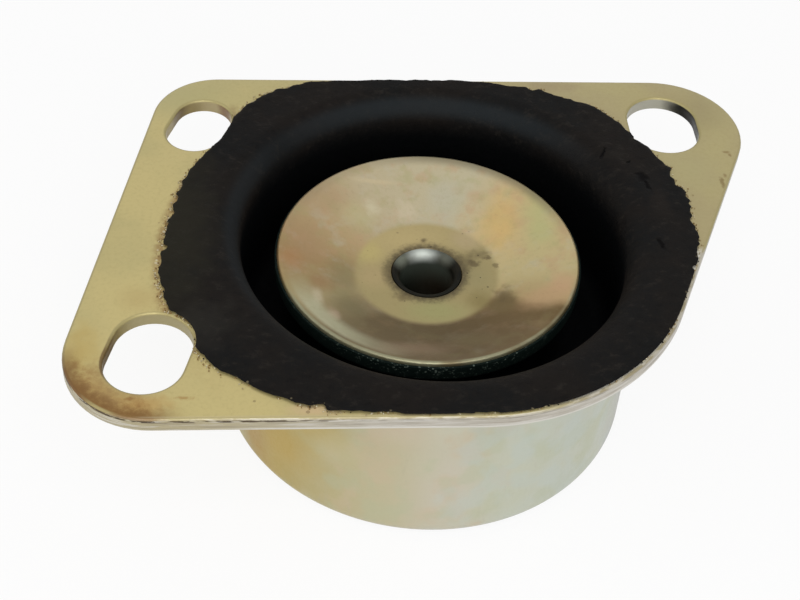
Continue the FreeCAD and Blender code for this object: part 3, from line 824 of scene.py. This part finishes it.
def rubber_finish():
    """Near-black moulded rubber: scuffs, gashes painted near black as shade, a faint painted highlight
    on the lip, painted shade in the groove, and light crumbs at its ragged edge.
    """
    finish, tree, shader = new_finish("rubber")
    place = place_mm(tree)
    split = put(tree, "SeparateXYZ", {0: place}).outputs
    clouds = grouped(tree, MOTTLE, {"Place": place, "Broad": 0.08, "Fine": 1.1})
    colour = blend(tree, ramp(tree, clouds["Cloud"], 0.35, 0.65), shade(26, 23, 21), shade(20, 20, 20))
    colour = blend(tree, ramp(tree, clouds["Grain"], 0.45, 0.75, 0.0, 0.5), colour, shade(34, 31, 28))
    wiped = {"Vector": place, "Rotation": (0, 0, 0.9), "Scale": (0.9, 1.5, 1.0)}
    scuffs = noisy(tree, put(tree, "Mapping", wiped).outputs[0], 0.5, 8.0, 0.7)[0]
    colour = blend(tree, ramp(tree, scuffs, 0.52, 0.7, 0.0, 0.5), colour, shade(46, 42, 38))
    colour = blend(tree, ramp(tree, scuffs, 0.46, 0.34, 0.0, 0.5), colour, shade(13, 12, 12))
    colour = with_stains_and_highlights(tree, colour, place, RUBBER_STAINS)
    # The gashes are painted near black: painted shade inside the cuts
    gash = gashed(tree, place, GASHES)
    colour = blend(tree, gash, colour, shade(5, 4, 4))
    # Painted highlight: a faint bluish sheen on the lip's rounding, at the back and at the left
    lip_highlight = times(tree, ramp(tree, split["Z"], 33.4, 35.6), ramp(tree, split["Z"], 37.5, 36.4))
    left = ramp(tree, split["X"], -18.0, -32.0, 0.0, 0.8)
    lip_highlight = times(tree, lip_highlight, maths(tree, "MAXIMUM", ramp(tree, split["Y"], 14.0, 33.0), left))
    colour = blend(tree, times(tree, lip_highlight, 0.6), colour, shade(38, 43, 46))
    # Painted shade: near black deep in the groove, darker towards the bottom
    deep = ramp(tree, split["Z"], 29.5, 35.0, 0.97, 0.0)
    colour = blend(tree, deep, colour, shade(5, 6, 7))
    out = away_from(tree, split, Vector((0, 0, 0)))
    pad = ramp(tree, out, PAD_R + 0.1, PAD_R + 0.3, 1.0, 0.0)
    pad = times(tree, pad, ramp(tree, split["Z"], 25.5, 27.5, 0.0, 0.9))
    colour = blend(tree, pad, colour, shade(17, 27, 24))
    flecks = grouped(tree, SPECKS, {"Place": place, "Spacing": 0.32, "Size": 0.62, "Amount": 0.6})["Mask"]
    flecks = times(tree, flecks, ramp(tree, clouds["Grain"], 0.44, 0.56, 0.1, 1.0))
    dusty = ramp(tree, split["Y"], -17.0, -23.5, 0.15, 1.0)
    dusty = times(tree, dusty, ramp(tree, split["Z"], PAD_TOP - 1.6, PAD_TOP - 0.3, 0.25, 1.0))
    flecks = times(tree, flecks, pad, dusty)
    colour = blend(tree, times(tree, flecks, 0.8), colour, shade(112, 124, 114))
    edge = put(tree, "Attribute", attribute_name="edge").outputs["Fac"]
    crumbs = grouped(tree, SPECKS, {"Place": place, "Spacing": 0.8, "Size": 0.36, "Amount": 0.22})["Mask"]
    crumbs = times(tree, crumbs, ramp(tree, edge, 0.86, 0.99))
    colour = blend(tree, times(tree, crumbs, 0.8), colour, shade(150, 138, 108))
    grit = put(tree, "Attribute", attribute_name="grit").outputs["Fac"]
    dust = blend(tree, ramp(tree, grit, 0.3, 1.0), shade(138, 112, 70), shade(204, 196, 168))
    colour = blend(tree, ramp(tree, grit, 0.0, 0.25), colour, dust)
    tree.links.new(colour, shader.inputs["Base Color"])
    tree.links.new(ramp(tree, clouds["Grain"], 0.3, 0.8, 0.52, 0.7), shader.inputs["Roughness"])
    shader.inputs["Specular IOR Level"].default_value = 0.04
    height = maths(tree, "ADD", clouds["Height"], ramp(tree, scuffs, 0.55, 0.8, 0.0, 1.0))
    height = maths(tree, "SUBTRACT", height, times(tree, gash, 4.0))
    relief(tree, height, 0.00006, shader)
    return finish


def mount_washer(finish):
    """The dished washer: flat centre, bend, cone and a rounded rim."""
    half = math.degrees(CONE)
    upper_bend = (WASHER_FLAT_R - WASHER_BEND * math.tan(CONE / 2), WASHER_TOP + WASHER_BEND)
    under_r = WASHER_FLAT_R + WASHER_SHEET * math.tan(CONE / 2)
    lower_bend_r = WASHER_BEND + WASHER_SHEET
    lower_bend = (under_r - lower_bend_r * math.tan(CONE / 2), WASHER_UNDER + lower_bend_r)
    rim_mid = WASHER_R - RIM_ROUND
    rim_high = RIM_TOP - RIM_ROUND * (1 + SLOPE)
    rim_low = RIM_TOP - SHEET_UPRIGHT + RIM_ROUND * (1 - SLOPE)
    top = [(HOLE_R + 0.1, WASHER_TOP)] + between((HOLE_R, WASHER_TOP), (upper_bend[0], WASHER_TOP), 3)
    top += arc(upper_bend, WASHER_BEND, -90, -90 + half, 6)
    top += between(top[-1], (rim_mid, RIM_TOP - RIM_ROUND * SLOPE), 4)
    top += arc((rim_mid, rim_high), RIM_ROUND, 90 + half, 0, 6)
    under = arc((rim_mid, rim_low), RIM_ROUND, 0, -90 + half, 6)
    under += list(reversed(arc(lower_bend, lower_bend_r, -90, -90 + half, 6)))
    under += [(HOLE_R + 0.1, WASHER_UNDER), (HOLE_R, WASHER_UNDER + 0.1), (HOLE_R, WASHER_TOP - 0.1)]
    return piece(spun(top + under, SPIN_STEPS), "washer", "dished_washer", [finish])


def mount_bush(finish):
    """The turned bush with its rounded mouth in the washer's hole."""
    section = [(BORE_R, 0.2), (BORE_R + 0.2, 0), (BUSH_R - END_CHAMFER, 0), (BUSH_R, END_CHAMFER)]
    section += [(BUSH_R, WASHER_UNDER - 0.1), (BUSH_R - 0.1, WASHER_UNDER), (SPIGOT_R, WASHER_UNDER)]
    section += [(SPIGOT_R, WASHER_TOP - 0.05)]
    section += arc((BORE_R + MOUTH_ROUND, WASHER_TOP - MOUTH_ROUND), MOUTH_ROUND, 85, 180, 10)
    section += between((BORE_R, WASHER_TOP - MOUTH_ROUND), (BORE_R, 0.2), 6)
    return piece(spun(section, SPIN_STEPS // 2), "bush", "stepped_bush", [finish])


def smooth(value, low, high):
    """A smooth step from 0 to 1."""
    share = max(0.0, min(1.0, (value - low) / (high - low)))
    return share * share * (3 - 2 * share)


def in_slot(x, y, slot, clearance):
    """Whether a point, measured from the cup's axis, lies in a slot or within a clearance of it."""
    centre_x, centre_y, width, length, angle = slot
    angle = math.radians(angle)
    dx, dy = x - centre_x, y - centre_y
    along = dx * math.cos(angle) + dy * math.sin(angle)
    across = dy * math.cos(angle) - dx * math.sin(angle)
    half = (length - width) / 2
    past = max(0.0, abs(along) - half)
    return math.hypot(past, across) < width / 2 + clearance


def skin_limit(angle):
    """How far the skin may reach at an angle before it meets the flange's edge or a slot."""
    c, s = math.cos(angle), math.sin(angle)
    reach = 60.0
    for normal, distance, _ in FLANGE_EDGES:
        lean = math.cos(angle - math.radians(normal))
        if lean > 0.1:
            reach = min(reach, (distance - SKIN_MARGIN) / lean)
    x, y, corner, start, turn = flange_corner(ROUND_CORNER)
    if start < math.degrees(angle) % 360 < start + turn:
        across = x * s - y * c
        reach = min(reach, x * c + y * s + math.sqrt(corner ** 2 - across ** 2) - SKIN_MARGIN)
    radius = LIP_R + 1.0
    while radius < min(reach, 48.0):
        if any(in_slot(radius * c, radius * s, slot, 0.05) for slot in SLOTS):
            return radius
        radius += 0.08
    return reach


def skin_reach(angle):
    """How far the skin reaches at an angle: its broad shape, its uneven edge and its tears."""
    count = len(SKIN_REACH)
    place = angle / (2 * math.pi) * count
    whole = int(math.floor(place))
    share = place - whole
    near = [SKIN_REACH[(whole + i) % count] for i in (-1, 0, 1, 2)]
    bend = near[2] - near[0] + share * (
        2 * near[0] - 5 * near[1] + 4 * near[2] - near[3]
        + share * (3 * (near[1] - near[2]) + near[3] - near[0])
    )
    broad = near[1] + 0.5 * share * bend
    side = Vector((math.cos(angle), math.sin(angle), 0.0))
    torn = 0.4 + 0.6 * abs(side.x) + 0.9 * noise.noise(side * 2.3 + Vector((3.1, 0, 0)))
    ragged = 0.42 * noise.noise(side * 9.0) + 0.38 * noise.noise(side * 23.0) + 0.2 * noise.noise(side * 50.0)
    reach = broad + 1.5 * torn * ragged
    for tear, width, depth in TEARS:
        off = (math.degrees(angle) - tear + 180) % 360 - 180
        reach -= depth * (1 - smooth(abs(off), 0.35 * width, width))
    return min(reach, skin_limit(angle))


def skin_reaches(steps):
    """The skin's reach at each step round the cup."""
    return [skin_reach(2 * math.pi * i / steps) for i in range(steps)]


def evened(reaches, span):
    """The reaches without their tears: each the mean of those within a span of steps."""
    count = len(reaches)
    width = 2 * span + 1
    return [sum(reaches[(i + j) % count] for j in range(-span, span + 1)) / width for i in range(count)]


def strew_crumbs(reaches):
    """Crumbs of rubber and light grit along the skin's edge, most of them at the left. Returns a mesh."""
    bm = bmesh.new()
    grit = bm.verts.layers.float.new("grit")
    chance = random.Random(11)
    for _ in range(CRUMBS):
        step = chance.randrange(len(reaches))
        angle = 2 * math.pi * (step + chance.random() - 0.5) / len(reaches)
        c, s = math.cos(angle), math.sin(angle)
        pale = chance.random() < 0.95
        radius = reaches[step] + chance.gauss(*CRUMB_SPREAD) if pale else reaches[step] - 0.3
        size = chance.uniform(*CRUMB_SIZE)
        on_edge = radius > skin_limit(angle) - 0.2
        clump = 0.5 + 0.5 * math.sin(23 * angle + 3 * math.sin(7 * angle))
        wanted = 0.1 + 0.9 * abs(c) if c < 0 else 0.1 + 0.5 * c
        if on_edge or chance.random() > wanted * (0.2 + 0.8 * clump):
            continue
        where = Matrix.Translation((CUP_AXIS.x + radius * c, CUP_AXIS.y + radius * s, HEIGHT + 0.08))
        turned = where @ Matrix.Rotation(chance.uniform(0, math.pi), 4, "Z")
        flat = Matrix.Diagonal((chance.uniform(0.8, 1.7), 1.0, 0.7, 1.0))
        made = bmesh.ops.create_icosphere(bm, subdivisions=1, radius=size, matrix=turned @ flat)
        tone = 0.3 + 0.7 * chance.random() ** 1.8 if pale else 0.0
        for vert in made["verts"]:
            vert[grit] = tone
    crumbs = bpy.data.meshes.new("crumbs")
    bm.to_mesh(crumbs)
    bm.free()
    return crumbs


def rubber_section():
    """The moulding's closed section, with a skin of one width for the whole turn."""
    skin_rings = 18
    step = (GROOVE_FLOOR + GROOVE_FILLET, GROOVE_FLOOR)
    section = between((LIP_R, SKIN_TOP), (LIP_R + SKIN_SPAN, SKIN_TOP), skin_rings)
    section.reverse()
    section += arc((LIP_R, SKIN_TOP - LIP_ROUND), LIP_ROUND, 90, 180, 14)
    section += between((LINING_R, SKIN_TOP - LIP_ROUND), (LINING_R, step[0]), 5)
    section += arc((LINING_R - GROOVE_FILLET, step[0]), GROOVE_FILLET, 0, -90, 6)
    section += arc((CORE_R + GROOVE_FILLET, step[0]), GROOVE_FILLET, 270, 180, 6)
    knee = RIM_UNDER - (WASHER_R - CORE_R) * SLOPE
    section += between((CORE_R, step[0]), (CORE_R, knee), 4)
    section += between((CORE_R, knee), (PAD_R, RIM_UNDER), 3)
    section += arc((PAD_R - 0.4, RIM_UNDER + 0.5), 0.4, -60, 0, 4)
    section += between((PAD_R, RIM_UNDER + 0.5), (PAD_R, PAD_TOP - 0.15), 3)
    section += arc((PAD_R - 0.15, PAD_TOP - 0.15), 0.15, 0, 90, 3)
    section += [(WASHER_R - RIM_ROUND, PAD_TOP), (WASHER_FLAT_R, WASHER_UNDER + 0.3)]
    section += [(BUSH_R, WASHER_UNDER + 0.1), (BUSH_R, SHEET)]
    section += [(INNER_R - BASE_BEND, SHEET), (INNER_R - 0.02, SHEET + BASE_BEND)]
    bend = FLANGE_BEND + SHEET
    section += arc((INNER_R + bend, HEIGHT - bend), bend + 0.02, 180, 90, 6)
    section += between((INNER_R + bend, HEIGHT), (LIP_R + SKIN_SPAN, HEIGHT), 2)
    return section


def mount_rubber(finish):
    """The moulding: its skin drawn out to the ragged edge, and its outer part set on the cup's axis."""
    bm = spun(rubber_section(), RUBBER_STEPS)
    reaches = skin_reaches(RUBBER_STEPS)
    even = evened(reaches, 8)
    edge = bm.verts.layers.float.new("edge")
    bm.verts.layers.float.new("grit")
    for vert in bm.verts:
        radius = math.hypot(vert.co.x, vert.co.y)
        step = round(math.atan2(vert.co.y, vert.co.x) / (2 * math.pi) * RUBBER_STEPS) % RUBBER_STEPS
        if radius > LIP_R + 0.01 and vert.co.z > HEIGHT - 0.01:
            share = (radius - LIP_R) / SKIN_SPAN
            vert[edge] = share
            reach = even[step] + (reaches[step] - even[step]) * smooth(share, 0.7, 0.98)
            scale = (LIP_R + (reach - LIP_R) * share) / radius
            if vert.co.z > HEIGHT + 0.01:
                thin = smooth(share, 0.88, 1.0)
                vert.co.z -= (SKIN - EDGE_SKIN) * thin
            vert.co.x *= scale
            vert.co.y *= scale
        outer = smooth(radius, PAD_R + 0.5, LINING_R - GROOVE_FILLET)
        if vert.co.z < GROOVE_FLOOR - 0.5:
            outer = smooth(radius, BUSH_R + 1.0, INNER_R - 1.0)
        vert.co += CUP_AXIS * outer
    crumbs = strew_crumbs(reaches)
    bm.from_mesh(crumbs)
    bpy.data.meshes.remove(crumbs)
    bmesh.ops.recalc_face_normals(bm, faces=bm.faces)
    return piece(bm, "rubber", "moulded_rubber", [finish], sharp=60.0)


def seen_or_mirrored(tree):
    """1 where the camera sees a thing, or sees it mirrored or through another, and 0 for its light."""
    path = put(tree, "LightPath").outputs
    seen = maths(tree, "MAXIMUM", path["Is Camera Ray"], path["Is Glossy Ray"])
    return maths(tree, "MAXIMUM", seen, path["Is Transmission Ray"])


def stand_floor():
    """A white floor that keeps the mount's soft shadow."""
    bm = bmesh.new()
    bmesh.ops.create_grid(bm, x_segments=1, y_segments=1, size=3.0)
    mesh = bpy.data.meshes.new("floor")
    bm.to_mesh(mesh)
    bm.free()
    finish, tree, shader = new_finish("floor")
    shader.inputs["Base Color"].default_value = (0.9, 0.9, 0.9, 1)
    shader.inputs["Roughness"].default_value = 0.9
    glow = put(tree, "Emission", {"Color": (1, 1, 1, 1), "Strength": 1.0})
    share = times(tree, seen_or_mirrored(tree), 0.88)
    joined = put(tree, "MixShader", {0: share, 1: shader.outputs[0], 2: glow.outputs[0]})
    tree.links.new(joined.outputs[0], tree.nodes["Material Output"].inputs["Surface"])
    mesh.materials.append(finish)
    floor = bpy.data.objects.new("floor", mesh)
    floor.location.z = -0.0002
    bpy.context.scene.collection.objects.link(floor)


def white_world():
    """White where it is seen or mirrored, and a soft dim light otherwise."""
    world = bpy.data.worlds.new("world")
    bpy.context.scene.world = world
    world.use_nodes = True
    tree = world.node_tree
    back = tree.nodes["Background"]
    strength = ramp(tree, seen_or_mirrored(tree), 0.0, 1.0, 0.5, 1.0)
    tree.links.new(strength, back.inputs["Strength"])
    back.inputs["Color"].default_value = (1, 1, 1, 1)


def soft_lamp(name, place, size, power):
    """A large soft lamp that points at the mount."""
    light = bpy.data.lights.new(name, "AREA")
    light.size = size
    light.energy = power
    lamp = bpy.data.objects.new(name, light)
    lamp.location = place
    lamp.rotation_euler = (Vector((0, 0, 0.02)) - Vector(place)).to_track_quat("-Z", "Y").to_euler()
    bpy.context.scene.collection.objects.link(lamp)


def set_camera():
    """The photograph's view: where the camera stands, how it turns, leans down and rolls."""
    place = Vector((-26.24, -191.29, 212.01)) * MM
    turn, lean, roll = math.radians(-6.6), math.radians(45.16), math.radians(4.463)
    lens = bpy.data.cameras.new("camera")
    lens.lens = 72.0
    lens.sensor_width = 36.0
    camera = bpy.data.objects.new("camera", lens)
    camera.matrix_world = (
        Matrix.Translation(place)
        @ Matrix.Rotation(turn, 4, "Z") @ Matrix.Rotation(lean, 4, "X") @ Matrix.Rotation(roll, 4, "Z")
    )
    bpy.context.scene.collection.objects.link(camera)
    bpy.context.scene.camera = camera


mount_pressing(plated_sheet_finish())
mount_washer(plated_washer_finish())
mount_bush(bush_finish())
mount_rubber(rubber_finish())
stand_floor()
white_world()
soft_lamp("main_lamp", (0.0, -0.62, 0.72), 0.7, 4.0)
soft_lamp("front_lamp", (0.25, -0.8, 0.45), 1.0, 1.6)
soft_lamp("left_lamp", (-0.8, -0.2, 0.4), 0.8, 1.5)
set_camera()
bpy.context.scene.view_settings.view_transform = "Standard"
